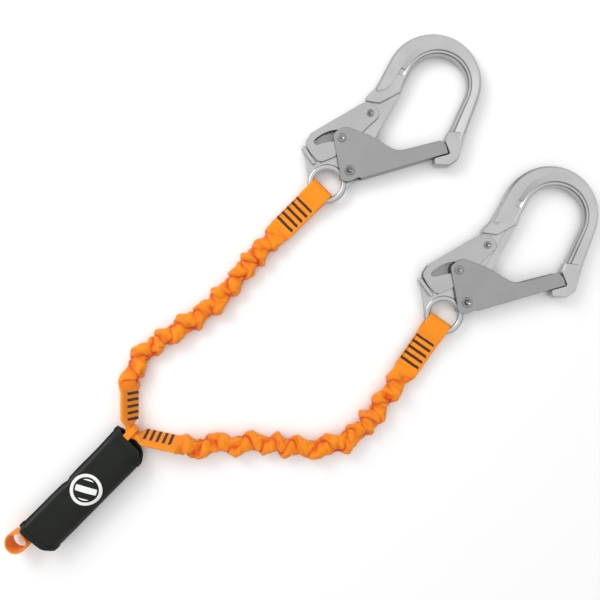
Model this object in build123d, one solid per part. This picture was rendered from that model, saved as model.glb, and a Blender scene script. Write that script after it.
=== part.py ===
"""A twin-leg shock absorbing lanyard for work at height, lying flat as if on a bench.

Two big aluminium scaffold hooks hang on two stretchable webbing legs. The legs are sewn into
one fork strap, which a loop of the energy absorber holds. The absorber is a folded pack of tear
webbing in a padded cover, with a loop for the harness at its far end.

Units are millimetres, +Z is up and Z = 0 is the bench. X and Y run along the bench, and the
origin is under the middle of the rigid and padded pieces.
"""
from build123d import *
import math
import os

# ---- Hook: sizes in the hook's own frame. Origin at the eye's centre, +X along the hook to the
# ---- bow's crown, +Y to the locking lever, Z = 0 in the hook's middle plane.
EYE_BORE_R = 15.8
EYE_RING_R = 22.6
EYE_HALF = 4.0
WEB_HALF = 3.0
SPINE_HALF = 4.0
CORE_HALF = 4.4
NECK_HALF = 5.6
RIB_HALF = 5.7
BOW_HALF = 7.0
NOSE_HALF = 6.6

BOW_OUTER_C = (167.0, -4.1)
BOW_OUTER_R = 55.0
BOW_INNER_C = (169.0, -9.3)
BOW_INNER_R = 34.0
SPINE_ANGLE = 17.3            # degrees: the shank's straight sides against the hook's axis
NOSE_LIMB_ANGLE = 20.4        # degrees: the inner side of the limb that ends in the nose
PLATEAU_C = (172.0, -14.0)    # the flat top of the bow's shank side ends on this circle
PLATEAU_R = 50.6
BEVEL = 2.3                   # bevel round the bow's outer edge
SLOPE_RUN = 8.6               # width of the sloping side of the bow's groove
RIB_WIDTH = 5.4

GATE_PIVOT = (28.0, -7.8)
LEVER_PIVOT = (91.2, 21.8)
LATCH_PIN = (47.9, 24.7)
GATE_TRAVEL = 40.0            # degrees
LEVER_RATIO = 0.25            # lever degrees per gate degree

SPINE_INNER = (74.1, -2.6)
NECK_INNER = (132.2, 14.2)
NECK_OUTER = (114.6, 37.9)
NECK_CORNER = (100.5, 38.2)
NECK_STEP = [(97.5, 35.0), (107.1, 22.1), NECK_INNER]
NOSE_OUTER = (143.1, -75.7)
NOSE_INNER = (131.0, -59.3)

GATE_BACK = (31.6, -24.3)     # the folded back of the gate, from the pivot's end to the nose's
GATE_TIP = (121.1, -73.4)
GATE_OUTLINE = [(43.8, 35.2, 8), (59.5, 32.5, 12), (72.5, 4.0, 50), (81.5, -31.0, 22), (126.0, -57.5, 5),
                (125.4, -66.0, 4), (*GATE_TIP, 0.6), (*GATE_BACK, 0.6), (30.0, -21.2, 0),
                (18.8, -16.8, 6), (11.8, -9.4, 6), (20.7, 1.6, 20)]
FLANGE_TOP = (90.0, 37.0)     # the folded outer edge of the lever
FLANGE_END = (27.1, 53.5)
LEVER_OUTLINE = [(*FLANGE_TOP, 0.5), (98.0, 33.5, 4), (101.5, 26.5, 6), (99.5, 11.5, 8), (78.0, 12.4, 12),
                 (48.0, 13.2, 30), (26.0, 15.6, 12), (9.6, 23.0, 8), (10.6, 38.0, 14), (14.6, 50.6, 7),
                 (25.6, 53.0, 0.4), (*FLANGE_END, 0)]

PIN_CLEAR = 0.06              # radial running clearance of a pin in a plate
SIDE_CLEAR = 0.3              # side clearance between the hook's plates
LEVER_INNER = 4.4             # half the space between the lever's cheeks
LEVER_SHEET = 1.6
GATE_SHEET = 1.8
GATE_RIVET_R = 3.6
GATE_HEAD_R = 6.0
LEVER_RIVET_R = 2.6
LEVER_HEAD_R = 4.2
LATCH_PIN_R = 3.2
LATCH_HEAD_R = 5.2
HEAD_T = 1.1
SLOT_CLEAR = 0.35

SPRING_WIRE = 0.95
SPRING_COIL_R = 4.9
SPRING_TURNS = 2

GUARD_LENGTH = 24.5           # finger guard beside the lever
GUARD_T = 4.6
GUARD_HALF = 8.0

# ---- Straps
STRAP_W = 28.0
PLY = 2.2
STRAP_FOLD_X = 4.8            # from the eye's centre to the fold's outside
STRAP_END_X = 72.0
BAR_FIRST_X = 35.8
BAR_PITCH = 7.8
FORK_BAR_PITCH = 7.3
FORK_BAR_LENGTH = 17.0
FORK_BAR_SIDE = 3.0             # how far the fork's bars sit towards the inner edge
BAR_COUNT = 5
BAR_LENGTH = 23.5
BAR_W = 2.8
BAR_T = 0.6
BAR_SIDE = 1.5                # the rows of stitches sit this far off the strap's middle

TUBE_W = 24.0                 # gathered webbing, lying flat
TUBE_H = 17.6
TUBE_WALL = 3.0
CORE_W = 14.0
CORE_H = 5.0

FORK_LEAN = 62.0              # degrees the fork strap leans from lying flat
FORK_BEND_R = 9.0
FORK_Z = 15.9
FOLD_T = 7.2                  # the fork strap is folded lengthwise round its bend
FOLD_H = 14.0
FOLD_RUN = 6.0                # straight folded stretch on each side of the bend

# ---- Absorber
COVER_T = 32.0
COVER_WALL = 2.0
COVER_EDGE_R = 11.0
TEAR_PLY = 2.4
TEAR_GAP = 0.5
TEAR_LAYERS = 7
TEAR_W = 32.0
TEAR_L = 112.0
HARNESS_BAND_H = 22.0
HARNESS_R = 10.6

LOOP_W = 8.2                  # the absorber's loop: band width, and how far its nose stands out
LOOP_NOSE = 8.8
LOOP_HALF = 10.6
LOOP_NECK = 19.5              # from the fork strap's bend to where the loop's two plies meet
FOLD_LAP = 1.0                # the folded stretch runs this far into the flat one
FORK_BARS_A = 3.2             # first bar tack, from the strap's end
FORK_BARS_B = 8.4
COVER_CORNERS = [(-77.0, 22.5, 3), (80.6, 24.6, 3), (78.6, -13.5, 12), (69.5, -25.4, 10), (-71.5, -22.8, 8)]
FORK_MOUTH = (20.0, 25.0)     # the cover's opening for the loop: along the cover's end, and high
HARNESS_MOUTH = (13.0, 27.5)
HARNESS_MOUTH_Y = 15.0
HARNESS_TAIL = 15.0
HARNESS_SEWN_Y = 12.5         # where its ends meet the tear webbing, from the cover's middle
TAPE_L = 96.0                 # hook tape and loop tape
TAPE_W = 12.0
TAPE_T = 1.0
TAPE_Y = (17.4, 18.6)
LABEL_L = 54.0
LABEL_W = 24.0
LABEL_LEAF = 0.5
LABEL_X = 18.0
TACK_PITCH = 14.0             # tack lines across the tear pack
TACK_COUNT = 7
TACK_W = 1.6

# ---- Places on the bench
HOOK_Z = 9.3
HOOK_ANGLE = 45.0
EYES = {"a": (29.6, 126.5), "b": (163.4, -24.1)}
STRAP_ANGLES = {"a": 225.0, "b": 235.4}
COVER_C = (-249.2, -224.5)
COVER_ANGLE = 45.4
FORK_A_TOP = (-195.6, -110.0)
FORK_CORNER = (-195.6, -159.5)
FORK_B_END = (-141.0, -171.6)
HARNESS_C = (-321.4, -280.2)
HARNESS_ANGLE = 66.0

# The middle line of each gathered leg between its two sewn ends, from the hook to the fork
ROUTES = {
    "a": [(-62.5, 32.5), (-81.0, 8.5), (-102.5, -14.0), (-128.0, -33.0), (-152.5, -47.5),
          (-174.0, -62.0), (-188.5, -79.0)],
    "b": [(96.0, -120.5), (82.0, -141.0), (64.0, -160.5), (41.0, -173.5), (15.0, -177.5),
          (-11.0, -175.5), (-37.0, -172.0), (-60.0, -170.5), (-82.0, -171.5), (-104.0, -174.0)],
}
HOOK_LEAD = 24.0              # a leg leaves the hook's strap in line with it, for this far
FORK_LEAD = 16.0              # and the fork strap, for this far

os.makedirs("parts", exist_ok=True)


# ------------------------------------------------------------------ helpers
def polar(centre, radius, angle):
    """The point at an angle in degrees on a circle."""
    turn = math.radians(angle)
    return (centre[0] + radius * math.cos(turn), centre[1] + radius * math.sin(turn))


def turned(point, centre, angle):
    """A point turned about a centre by an angle in degrees."""
    reach = math.hypot(point[0] - centre[0], point[1] - centre[1])
    start = math.degrees(math.atan2(point[1] - centre[1], point[0] - centre[0]))
    return polar(centre, reach, start + angle)


def tangent_point(centre, radius, outside, side):
    """Where a line from an outside point touches a circle, on its left (+1) or right (-1)."""
    dx = outside[0] - centre[0]
    dy = outside[1] - centre[1]
    reach = math.hypot(dx, dy)
    angle = math.degrees(math.atan2(dy, dx) + side * math.acos(radius / reach))
    return polar(centre, radius, angle)


def outline(corners):
    """A face from (x, y, radius) corners."""
    points = [(x, y) for x, y, _ in corners]
    radii = [r for _, _, r in corners]
    return make_face(FilletPolyline(*points, radius=radii, close=True))


def slab(face, low, high):
    """A flat solid over a face, between two heights."""
    return Pos(0, 0, low) * extrude(face, amount=high - low)


def even_slab(face, half):
    """A flat solid over a face, the same above and below the middle plane."""
    return slab(face, -half, half)


def post(centre, radius, low, high):
    """A round pin, bore or boss along Z."""
    return slab(Pos(*centre) * Circle(radius), low, high)


def mirrored(solid):
    """A solid and its mirror image in the middle plane."""
    return [solid, mirror(solid, about=Plane.XY)]


def swept(profile_points, path, arc_nose=0.0):
    """A rail: a closed profile of (inward, height) points swept along a flat path.

    Inward is to the right of the path's direction. With arc_nose the first and last points
    join over a nose that bulges by that much.
    """
    start = path @ 0
    along = path % 0
    section = Plane(origin=start, x_dir=along.cross(Vector(0, 0, 1)), z_dir=along)
    if arc_nose:
        first, last = profile_points[0], profile_points[-1]
        lines = [Line(a, b) for a, b in zip(profile_points, profile_points[1:])]
        lines.append(ThreePointArc(last, (first[0] - arc_nose, 0), first))
        profile = make_face(Curve() + lines)
    else:
        profile = make_face(Polyline(*profile_points, close=True))
    return sweep(section * profile, path=path)


def save(node, *solids):
    """Write one node, as one solid or a group of separate solids."""
    pieces = [piece for solid in solids for piece in solid.solids()]
    shape = pieces[0] if len(pieces) == 1 else Compound(children=pieces)
    export_step(shape, f"parts/{node}.step")


# ------------------------------------------------------------------ hook body

BOW_IN_LEFT = polar(BOW_INNER_C, BOW_INNER_R, 90 + SPINE_ANGLE)
BOW_IN_RIGHT = polar(BOW_INNER_C, BOW_INNER_R, NOSE_LIMB_ANGLE - 90)
BOW_OUT_LEFT = tangent_point(BOW_OUTER_C, BOW_OUTER_R, NECK_OUTER, -1)
BOW_OUT_RIGHT = tangent_point(BOW_OUTER_C, BOW_OUTER_R, NOSE_OUTER, 1)


def bow_outer_path(inset=0.0):
    """The bow's outer edge from neck to nose, or a line a little inside it."""
    left = polar(BOW_OUTER_C, BOW_OUTER_R - inset, 90 + SPINE_ANGLE)
    right_angle = math.degrees(math.atan2(BOW_OUT_RIGHT[1] - BOW_OUTER_C[1],
                                          BOW_OUT_RIGHT[0] - BOW_OUTER_C[0]))
    right = polar(BOW_OUTER_C, BOW_OUTER_R - inset, right_angle)
    shank_run = math.dist(BOW_OUT_LEFT, NECK_OUTER)
    limb_run = math.dist(BOW_OUT_RIGHT, NOSE_OUTER)
    neck = polar(left, shank_run, 180 + SPINE_ANGLE)
    nose = polar(right, limb_run, right_angle - 90)
    crown = polar(BOW_OUTER_C, BOW_OUTER_R - inset, 20)
    return neck, left, crown, right, nose


def bow_inner_path(inset=0.0):
    """The bow's inner edge from neck to nose, or a line a little into the metal."""
    radius = BOW_INNER_R + inset
    left = polar(BOW_INNER_C, radius, 90 + SPINE_ANGLE)
    right = polar(BOW_INNER_C, radius, NOSE_LIMB_ANGLE - 90)
    neck = polar(left, math.dist(BOW_IN_LEFT, NECK_INNER), 180 + SPINE_ANGLE)
    nose = polar(right, math.dist(BOW_IN_RIGHT, NOSE_INNER), 180 + NOSE_LIMB_ANGLE)
    crown = polar(BOW_INNER_C, radius, 20)
    return neck, left, crown, right, nose


def hook_path(points):
    """Line, arc, line: the shape of the letter J."""
    neck, left, crown, right, nose = points
    return Wire([Line(neck, left).edge(), ThreePointArc(left, crown, right).edge(),
                 Line(right, nose).edge()])


def band_face(outer, inner):
    """The face between two J-shaped lines, closed straight at both ends."""
    neck_o, left_o, crown_o, right_o, nose_o = outer
    neck_i, left_i, crown_i, right_i, nose_i = inner
    edges = [Line(neck_o, left_o), ThreePointArc(left_o, crown_o, right_o), Line(right_o, nose_o),
             Line(nose_o, nose_i), Line(nose_i, right_i), ThreePointArc(right_i, crown_i, left_i),
             Line(left_i, neck_i), Line(neck_i, neck_o)]
    return make_face(Curve() + edges)


def bow():
    """The forged bow: outer rim, sloping groove, inner rib, and a flat plateau on the shank."""
    core = even_slab(band_face(bow_outer_path(1.0), bow_inner_path(2.5)), CORE_HALF)

    rim_low = BOW_HALF - BEVEL
    rim_top = BEVEL + 1.0
    rim_profile = [(0, -rim_low), (0, rim_low), (BEVEL, BOW_HALF), (rim_top, BOW_HALF),
                   (rim_top + SLOPE_RUN, CORE_HALF), (rim_top + SLOPE_RUN, -CORE_HALF),
                   (rim_top, -BOW_HALF), (BEVEL, -BOW_HALF)]
    rim = swept(rim_profile, hook_path(bow_outer_path()))

    # The rib runs along the inner edge, so its profile is measured the other way
    rib_profile = [(-2.2, RIB_HALF), (2.2 - RIB_WIDTH - 1.0, RIB_HALF), (-RIB_WIDTH - 1.2, CORE_HALF),
                   (-RIB_WIDTH - 1.2, -CORE_HALF), (2.2 - RIB_WIDTH - 1.0, -RIB_HALF),
                   (-2.2, -RIB_HALF)]
    rib = swept(rib_profile, hook_path(bow_inner_path()), arc_nose=-2.2)

    # Flat plateau: inside the bevel, as far as its own circle and a curved step by the neck
    neck, left, _, right, _ = bow_outer_path(BEVEL)
    tip_angle = plateau_tip_angle()
    tip = polar(BOW_OUTER_C, BOW_OUTER_R - BEVEL, tip_angle)
    rim_mid = polar(BOW_OUTER_C, BOW_OUTER_R - BEVEL, (tip_angle + 90 + SPINE_ANGLE) / 2)
    inner_start = polar(PLATEAU_C, PLATEAU_R, 106)
    inner_mid = polar(PLATEAU_C, PLATEAU_R, 66)
    step = [(136.5, 29.4), (126.0, 28.2), (118.6, 31.6)]
    edges = [Line(neck, left), ThreePointArc(left, rim_mid, tip), ThreePointArc(tip, inner_mid, inner_start),
             Spline(inner_start, *step, tangents=[(-1, -0.32), (-0.35, 1)]), Line(step[-1], neck)]
    plateau = even_slab(make_face(Curve() + edges), BOW_HALF)

    # Below the plateau's round edge the metal slopes down into the groove
    slope = [(PLATEAU_R - SLOPE_RUN, 0, -CORE_HALF), (PLATEAU_R - SLOPE_RUN, 0, CORE_HALF),
             (PLATEAU_R, 0, BOW_HALF), (PLATEAU_R, 0, -BOW_HALF)]
    cone = revolve(make_face(Polyline(*slope, close=True)), axis=Axis.Z, revolution_arc=98)
    apron = Pos(*PLATEAU_C, 0) * Rot(0, 0, 14) * cone
    return core + rim + rib + plateau + (apron & even_slab(band_face(bow_outer_path(1.0),
                                                                      bow_inner_path(2.5)), BOW_HALF))


def plateau_tip_angle():
    """Where the plateau's circle meets the inside of the outer bevel."""
    dx = PLATEAU_C[0] - BOW_OUTER_C[0]
    dy = PLATEAU_C[1] - BOW_OUTER_C[1]
    apart = math.hypot(dx, dy)
    reach = BOW_OUTER_R - BEVEL
    swing = math.degrees(math.acos((reach**2 + apart**2 - PLATEAU_R**2) / (2 * reach * apart)))
    return math.degrees(math.atan2(dy, dx)) + swing


def nose():
    """The hooked nose that catches the gate's tip."""
    face = outline([(NOSE_INNER[0] + 9.0, NOSE_INNER[1] + 3.4, 0), (NOSE_INNER[0] - 1.0, NOSE_INNER[1] - 0.4, 2.0),
                    (128.3, -62.0, 1.0), (122.6, -75.2, 1.2), (106.4, -66.0, 1.8), (101.2, -72.0, 3.0),
                    (112.6, -84.4, 6.0), (124.4, -86.6, 9.0), (NOSE_OUTER[0] + 9.0, NOSE_OUTER[1] + 4.3, 0)])
    block = even_slab(face, NOSE_HALF)
    return chamfer(block.edges().filter_by(Axis.Z, reverse=True), 0.7)


def web_face():
    """The thin plate from the eye to the shank, cut back round the latch pin's travel."""
    keep_off = math.dist(GATE_PIVOT, LATCH_PIN) - LATCH_PIN_R - 1.4
    sweep_start = polar(GATE_PIVOT, keep_off, 120)
    sweep_mid = polar(GATE_PIVOT, keep_off, 85)
    sweep_end = polar(GATE_PIVOT, keep_off, 50)
    lug_r = GATE_HEAD_R + 5.6
    lug_out = polar(GATE_PIVOT, lug_r, -95)
    lug_mid = polar(GATE_PIVOT, lug_r, -50)
    lug_in = polar(GATE_PIVOT, lug_r, -8)
    ring_left = polar((0, 0), EYE_RING_R - 0.6, 133)
    ring_right = polar((0, 0), EYE_RING_R - 0.6, -62)
    edges = [Line(ring_left, (-4.6, 28.4)), Line((-4.6, 28.4), (1.4, 36.6)), Line((1.4, 36.6), (6.6, 46.0)),
             Line((6.6, 46.0), (9.0, 44.0)), Line((9.0, 44.0), sweep_start),
             ThreePointArc(sweep_start, sweep_mid, sweep_end), Line(sweep_end, (62.0, 21.0)),
             Line((62.0, 21.0), (74.0, 30.2)), Line((74.0, 30.2), (94.0, 32.4)), Line((94.0, 32.4), NECK_STEP[0]),
             Line(NECK_STEP[0], (112.0, 34.0)), Line((112.0, 34.0), (138.0, 21.0)), Line((138.0, 21.0), NECK_INNER),
             Line(NECK_INNER, SPINE_INNER), Line(SPINE_INNER, lug_in), ThreePointArc(lug_in, lug_mid, lug_out),
             Line(lug_out, ring_right), ThreePointArc(ring_right, polar((0, 0), 10.0, 30), ring_left)]
    return make_face(Curve() + edges)


def hook_body():
    ring_profile = Plane.XZ * Pos((EYE_BORE_R + EYE_RING_R) / 2, 0) * RectangleRounded(
        EYE_RING_R - EYE_BORE_R, 2 * EYE_HALF, 2.6)
    ring = revolve(ring_profile, axis=Axis.Z)

    web = even_slab(web_face(), WEB_HALF)
    neck_face = outline([(*NECK_STEP[0], 1.5), (*NECK_STEP[1], 3.0), (*NECK_INNER, 0), (150.0, 22.5, 0),
                         (140.0, 44.6, 0), (*NECK_OUTER, 12), (*NECK_CORNER, 2.0)])
    neck_block = even_slab(neck_face, NECK_HALF)
    neck_block = chamfer(neck_block.edges().filter_by(Axis.Z, reverse=True), 0.6)

    # A raised border stiffens the shank's inner edge
    across = (math.cos(math.radians(90 + SPINE_ANGLE)), math.sin(math.radians(90 + SPINE_ANGLE)))
    border_w = 7.5
    border_face = make_face(Polyline(
        (62.0, -5.0), NECK_INNER, (NECK_INNER[0] + across[0] * border_w, NECK_INNER[1] + across[1] * border_w),
        (62.0 + across[0] * border_w, -5.0 + across[1] * border_w), close=True))
    border = even_slab(border_face, SPINE_HALF) & even_slab(web_face(), BOW_HALF)

    guard = Box(GUARD_T, GUARD_LENGTH, 2 * GUARD_HALF)
    guard = fillet(guard.edges().filter_by(Axis.Z), GUARD_T * 0.45)
    guard = fillet(guard.edges().filter_by(Axis.Z, reverse=True), 1.2)
    guard = Pos(7.2, 37.4) * Rot(0, 0, -10) * guard

    body = web + ring + neck_block + border + guard + bow() + nose()
    body -= even_slab(Circle(EYE_BORE_R), WEB_HALF + 0.1)
    body -= post(GATE_PIVOT, GATE_RIVET_R, -20, 20)
    body -= post(LEVER_PIVOT, LEVER_RIVET_R, -20, 20)
    pocket_floor = WEB_HALF - 2.0
    body -= post(LEVER_PIVOT, SPRING_COIL_R + SPRING_WIRE + 1.0, pocket_floor, WEB_HALF + 0.1)
    return body


# ------------------------------------------------------------------ gate and lever
GATE_IN = LEVER_INNER + LEVER_SHEET + SIDE_CLEAR
GATE_OUT = GATE_IN + GATE_SHEET
LEVER_OUT = LEVER_INNER + LEVER_SHEET


def strip(start, end, thickness, half):
    """A straight wall along a line, its thickness on the line's left."""
    length = math.dist(start, end)
    angle = math.degrees(math.atan2(end[1] - start[1], end[0] - start[0]))
    wall = Pos(length / 2, thickness / 2) * Box(length, thickness, 2 * half)
    return Pos(*start) * Rot(0, 0, angle) * wall


def gate():
    """Two cheeks and the folded back that joins them, open towards the hook's spine."""
    cheek = slab(outline(GATE_OUTLINE), GATE_IN, GATE_OUT)
    top_rim = cheek.faces().sort_by(Axis.Z)[-1].edges()
    cheek = chamfer(top_rim, 0.35)
    back = strip(GATE_BACK, GATE_TIP, GATE_SHEET, GATE_OUT)
    bend_edges = [e for e in back.edges() if abs(abs(e.center().Z) - GATE_OUT) < 0.01]
    axis = Vector(GATE_TIP[0] - GATE_BACK[0], GATE_TIP[1] - GATE_BACK[1], 0).normalized()
    outer = [e for e in bend_edges if abs((e % 0.5).dot(axis)) > 0.99 and
             (e.center() - Vector(*GATE_BACK)).dot(axis.cross(Vector(0, 0, 1))) > -0.01]
    back = fillet(outer, 1.2)
    solid = back
    for side in mirrored(cheek):
        solid += side
    solid -= post(GATE_PIVOT, GATE_RIVET_R + PIN_CLEAR, -20, 20)
    solid -= post(LATCH_PIN, LATCH_PIN_R, -20, 20)
    return solid


def pin_in_lever(gate_turn, lever_turn):
    """The latch pin's centre, seen from the lever, for a gate and a lever angle."""
    return turned(turned(LATCH_PIN, GATE_PIVOT, gate_turn), LEVER_PIVOT, -lever_turn)


def latch_slot():
    """All the places of the latch pin while the lever is pressed and the gate swings."""
    full = GATE_TRAVEL * LEVER_RATIO
    seat = pin_in_lever(0, 0)
    open_end = pin_in_lever(GATE_TRAVEL, full)
    pressed = pin_in_lever(0, full)
    edges = [ThreePointArc(seat, pin_in_lever(GATE_TRAVEL / 2, full / 2), open_end),
             ThreePointArc(open_end, pin_in_lever(GATE_TRAVEL / 2, full), pressed),
             ThreePointArc(pressed, pin_in_lever(0, full / 2), seat)]
    core = make_face(Curve() + edges)
    return offset(core, amount=LATCH_PIN_R + SLOT_CLEAR, kind=Kind.ARC)


def lever():
    """Two cheeks inside the gate's and the folded outer edge that the palm presses."""
    cheek = slab(outline(LEVER_OUTLINE), LEVER_INNER, LEVER_OUT)
    top_rim = cheek.faces().sort_by(Axis.Z)[-1].edges()
    cheek = chamfer(top_rim, 0.3)
    flange = strip(FLANGE_TOP, FLANGE_END, LEVER_SHEET, LEVER_OUT)
    solid = flange
    for side in mirrored(cheek):
        solid += side
    solid -= even_slab(latch_slot(), 20)
    solid -= post(LEVER_PIVOT, LEVER_RIVET_R + PIN_CLEAR, -20, 20)
    return solid


def rivet(centre, shank_r, head_r, head_from, recess_r, recess_depth):
    """A tubular rivet: a shank, two domed heads and a cone-shaped recess in each."""
    solid = post(centre, shank_r, -head_from, head_from)
    head = Cylinder(head_r, HEAD_T, align=(Align.CENTER, Align.CENTER, Align.MIN))
    head = fillet(head.edges().sort_by(Axis.Z)[-1], 0.6)
    recess = Cone(recess_r * 0.35, recess_r, recess_depth, align=(Align.CENTER, Align.CENTER, Align.MAX))
    head = Pos(*centre, head_from) * head
    cup = Pos(*centre, head_from + HEAD_T) * recess
    for cap, hollow in zip(mirrored(head), mirrored(cup)):
        solid = solid + cap - hollow
    return solid


def coil_spring(centre, bottom, leg_angle, leg_length):
    """A small torsion spring round a rivet, with one straight leg from its top turn."""
    pitch = SPRING_WIRE * 1.04
    height = pitch * SPRING_TURNS
    helix = Helix(pitch=pitch, height=height, radius=SPRING_COIL_R)
    section = Plane(origin=helix @ 0, z_dir=helix % 0) * Circle(SPRING_WIRE / 2)
    coil = sweep(section, path=helix, is_frenet=True)
    tail = Cylinder(SPRING_WIRE / 2, leg_length, align=(Align.CENTER, Align.CENTER, Align.MIN))
    tail = Pos(SPRING_COIL_R, -0.6, height) * Rot(-90, 0, 0) * tail
    return Pos(*centre, bottom + SPRING_WIRE / 2) * Rot(0, 0, leg_angle) * (coil + tail)


# ------------------------------------------------------------------ straps
def strap_loop():
    """The sewn end of a leg round the hook's eye. +X runs from the eye's centre down the leg."""
    clear = 0.5
    inner_r = EYE_HALF + clear
    outer_r = inner_r + PLY
    fold_x = STRAP_FOLD_X + outer_r
    bar_end = EYE_RING_R + 2.0
    join_x = BAR_FIRST_X - 4.6
    outer_face = outline([(fold_x - outer_r, outer_r, outer_r - 0.05), (bar_end, outer_r, 8),
                          (join_x, PLY, 8), (STRAP_END_X, PLY, 0), (STRAP_END_X, -PLY, 0), (join_x, -PLY, 8),
                          (bar_end, -outer_r, 8), (fold_x - outer_r, -outer_r, outer_r - 0.05)])
    hole_face = outline([(fold_x - inner_r, inner_r, inner_r - 0.05), (bar_end, inner_r, 8),
                         (join_x - 1.5, 0, 0.3),
                         (bar_end, -inner_r, 8), (fold_x - inner_r, -inner_r, inner_r - 0.05)])
    return extrude(Plane.XZ * (outer_face - hole_face), amount=STRAP_W / 2, both=True)


def stitch_bars(first_x, face_z, pitch=BAR_PITCH, length=BAR_LENGTH, off_middle=BAR_SIDE):
    """Rows of bar tacks on both faces of a sewn strap."""
    bars = []
    for row in range(BAR_COUNT):
        bar = Box(BAR_W, length, BAR_T)
        bar = fillet(bar.edges().filter_by(Axis.Z), BAR_W * 0.35)
        for side in (1, -1):
            height = side * (face_z + BAR_T / 2)
            bars.append(Pos(first_x + row * pitch, -off_middle, height) * bar)
    return bars


def leg_points(side):
    """A leg's route, its first and last runs in line with the straps that they are sewn to."""
    fork_end = FORK_A_TOP if side == "a" else FORK_B_END
    away = (Vector(*fork_end) - Vector(*FORK_CORNER)).normalized() * FORK_LEAD
    return [polar(EYES[side], STRAP_END_X, STRAP_ANGLES[side]),
            polar(EYES[side], STRAP_END_X + HOOK_LEAD, STRAP_ANGLES[side]),
            *ROUTES[side],
            (fork_end[0] + away.X, fork_end[1] + away.Y),
            fork_end]


def leg_path(points):
    """Straight runs joined by the largest arcs that the runs allow."""
    radii = []
    for before, here, after in zip(points, points[1:], points[2:]):
        first = Vector(*here) - Vector(*before)
        second = Vector(*after) - Vector(*here)
        turn = math.radians(first.get_angle(second))
        shorter = min(first.length, second.length)
        radii.append(0.45 * shorter / math.tan(turn / 2))
    print("  leg bend radii, mm:", [round(r) for r in radii])
    return FilletPolyline(*points, radius=radii)


def leg_tube(points):
    """The gathered webbing, a flattened hollow tube, and the flat elastic inside it."""
    path = leg_path(points)
    along = path % 0
    section = Plane(origin=path @ 0, x_dir=along.cross(Vector(0, 0, 1)), z_dir=along)
    skin = sweep(section * (Ellipse(TUBE_W / 2, TUBE_H / 2)
                            - Ellipse(TUBE_W / 2 - TUBE_WALL, TUBE_H / 2 - TUBE_WALL)), path=path)
    core = sweep(section * RectangleRounded(CORE_W, CORE_H, CORE_H * 0.45), path=path)
    ring_area = math.pi * (TUBE_W * TUBE_H - (TUBE_W - 2 * TUBE_WALL) * (TUBE_H - 2 * TUBE_WALL)) / 4
    print(f"  gathered length {path.length:.0f} mm, volume {skin.volume:.0f} against "
          f"section x length {ring_area * path.length:.0f} mm3")
    return Pos(0, 0, HOOK_Z) * skin, Pos(0, 0, HOOK_Z) * core


def fork():
    """Both legs' strap ends in one strap, folded lengthwise where it turns in the absorber's loop."""
    corner_a = Vector(*FORK_CORNER)
    to_a = (Vector(*FORK_A_TOP) - corner_a).normalized()
    to_b = (Vector(*FORK_B_END) - corner_a).normalized()
    turn = 180 - to_a.get_angle(to_b)
    setback = FORK_BEND_R * math.tan(math.radians(turn / 2))
    bend_from = corner_a + to_a * (setback + FOLD_RUN)
    bend_to = corner_a + to_b * (setback + FOLD_RUN)
    solids = []
    for end, start, high_edge in ((FORK_A_TOP, bend_from, 1), (FORK_B_END, bend_to, -1)):
        along = Vector(*start) - Vector(*end)
        length = along.length
        angle = math.degrees(math.atan2(along.Y, along.X))
        flat = Box(length, STRAP_W, 2 * PLY, align=(Align.MIN, Align.CENTER, Align.CENTER))
        solids.append(Pos(*end, FORK_Z) * Rot(0, 0, angle) * Rot(-high_edge * FORK_LEAN, 0, 0) * flat)
    fold_reach = setback + FOLD_RUN + FOLD_LAP
    path = FilletPolyline(tuple(corner_a + to_a * fold_reach), FORK_CORNER,
                          tuple(corner_a + to_b * fold_reach), radius=[FORK_BEND_R])
    along = path % 0
    section = Plane(origin=path @ 0, x_dir=along.cross(Vector(0, 0, 1)), z_dir=along)
    fold = sweep(section * RectangleRounded(FOLD_T, FOLD_H, 3.0), path=path)
    return solids[0] + solids[1] + Pos(0, 0, FORK_Z) * fold


def fork_bars(end, high_edge, first):
    """Bar tacks on the inner and outer faces of one side of the fork strap."""
    along = Vector(*FORK_CORNER) - Vector(*end)
    angle = math.degrees(math.atan2(along.Y, along.X))
    place = Pos(*end, FORK_Z) * Rot(0, 0, angle) * Rot(-high_edge * FORK_LEAN, 0, 0)
    return [place * bar for bar in stitch_bars(first, PLY, FORK_BAR_PITCH, FORK_BAR_LENGTH,
                                            -high_edge * FORK_BAR_SIDE)]


# ------------------------------------------------------------------ absorber
def to_cover(solid):
    """A piece from the cover's own frame to its place on the bench."""
    return Pos(*COVER_C, 0) * Rot(0, 0, COVER_ANGLE) * solid


def pillow(inset):
    """The cover's rounded block, or the hollow inside it."""
    face = outline(COVER_CORNERS)
    if inset:
        face = offset(face, amount=-inset)
    block = slab(face, inset, COVER_T - inset)
    return fillet(block.edges().filter_by(Axis.Z, reverse=True), COVER_EDGE_R - inset)


def cover():
    """The padded cover, a shell with a mouth at each end."""
    shell = pillow(0) - pillow(COVER_WALL)
    apex = fork_apex()
    mouth_y = in_cover((apex.X, apex.Y))[1]
    through = 10 * COVER_WALL
    fork_mouth = Pos(COVER_CORNERS[1][0], mouth_y, COVER_T / 2) * Box(through, *FORK_MOUTH)
    harness_mouth = Pos(COVER_CORNERS[0][0], HARNESS_MOUTH_Y, COVER_T / 2) * Box(through, *HARNESS_MOUTH)
    return shell - fork_mouth - harness_mouth


def pack_height():
    """The folded tear webbing's height."""
    return TEAR_LAYERS * (TEAR_PLY + TEAR_GAP) - TEAR_GAP


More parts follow.
